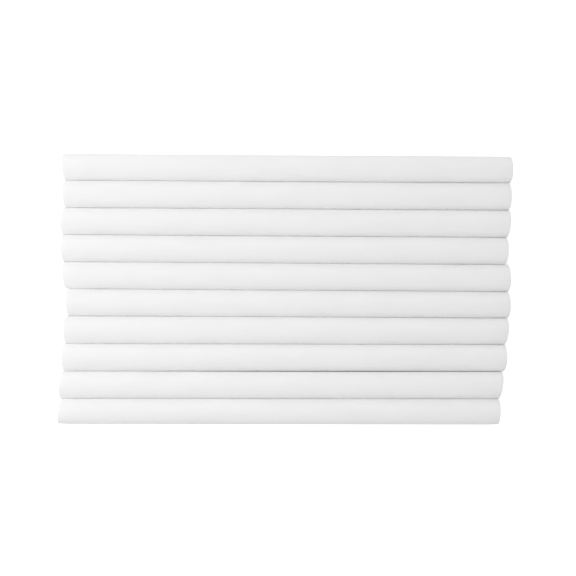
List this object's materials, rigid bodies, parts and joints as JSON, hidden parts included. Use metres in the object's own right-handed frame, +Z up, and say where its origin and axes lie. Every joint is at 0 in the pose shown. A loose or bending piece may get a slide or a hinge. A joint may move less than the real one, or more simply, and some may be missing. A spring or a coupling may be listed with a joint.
{
  "type": "blending stump set",
  "caption": "Row of loose blunt sticks of tightly rolled soft white paper, each in a lapped cover sheet, for smudging and blending chalk, charcoal and pencil.",
  "frame": {"origin": "on the table under the middle of the row's box", "axes": "+X along the stumps, +Y across the row from the last stump to the first, +Z up from the table"},
  "size_m": [0.1358, 0.0812, 0.0079],
  "materials": {
    "soft_roll_paper": "soft felted white paper, cut across so that the wound layers show, matt and fibrous",
    "smooth_cover_paper": "smooth white paper, matt, with faint fibres and a pasted lap"
  },
  "bodies": {
    "stump_01": {"stump_01_roll": "soft_roll_paper", "stump_01_cover": "smooth_cover_paper"},
    "stump_02": {"stump_02_roll": "soft_roll_paper", "stump_02_cover": "smooth_cover_paper"},
    "stump_03": {"stump_03_roll": "soft_roll_paper", "stump_03_cover": "smooth_cover_paper"},
    "stump_04": {"stump_04_roll": "soft_roll_paper", "stump_04_cover": "smooth_cover_paper"},
    "stump_05": {"stump_05_roll": "soft_roll_paper", "stump_05_cover": "smooth_cover_paper"},
    "stump_06": {"stump_06_roll": "soft_roll_paper", "stump_06_cover": "smooth_cover_paper"},
    "stump_07": {"stump_07_roll": "soft_roll_paper", "stump_07_cover": "smooth_cover_paper"},
    "stump_08": {"stump_08_roll": "soft_roll_paper", "stump_08_cover": "smooth_cover_paper"},
    "stump_09": {"stump_09_roll": "soft_roll_paper", "stump_09_cover": "smooth_cover_paper"},
    "stump_10": {"stump_10_roll": "soft_roll_paper", "stump_10_cover": "smooth_cover_paper"}
  },
  "joints": [
    {"name": "stump_01_lift", "type": "slide", "parent": "stump_05", "child": "stump_01", "axis": [0, 0, 1], "range_m": [0, 0.04]},
    {"name": "stump_02_lift", "type": "slide", "parent": "stump_05", "child": "stump_02", "axis": [0, 0, 1], "range_m": [0, 0.04]},
    {"name": "stump_03_lift", "type": "slide", "parent": "stump_05", "child": "stump_03", "axis": [0, 0, 1], "range_m": [0, 0.04]},
    {"name": "stump_04_lift", "type": "slide", "parent": "stump_05", "child": "stump_04", "axis": [0, 0, 1], "range_m": [0, 0.04]},
    {"name": "stump_06_lift", "type": "slide", "parent": "stump_05", "child": "stump_06", "axis": [0, 0, 1], "range_m": [0, 0.04]},
    {"name": "stump_07_lift", "type": "slide", "parent": "stump_05", "child": "stump_07", "axis": [0, 0, 1], "range_m": [0, 0.04]},
    {"name": "stump_08_lift", "type": "slide", "parent": "stump_05", "child": "stump_08", "axis": [0, 0, 1], "range_m": [0, 0.04]},
    {"name": "stump_09_lift", "type": "slide", "parent": "stump_05", "child": "stump_09", "axis": [0, 0, 1], "range_m": [0, 0.04]},
    {"name": "stump_10_lift", "type": "slide", "parent": "stump_05", "child": "stump_10", "axis": [0, 0, 1], "range_m": [0, 0.04]}
  ]
}
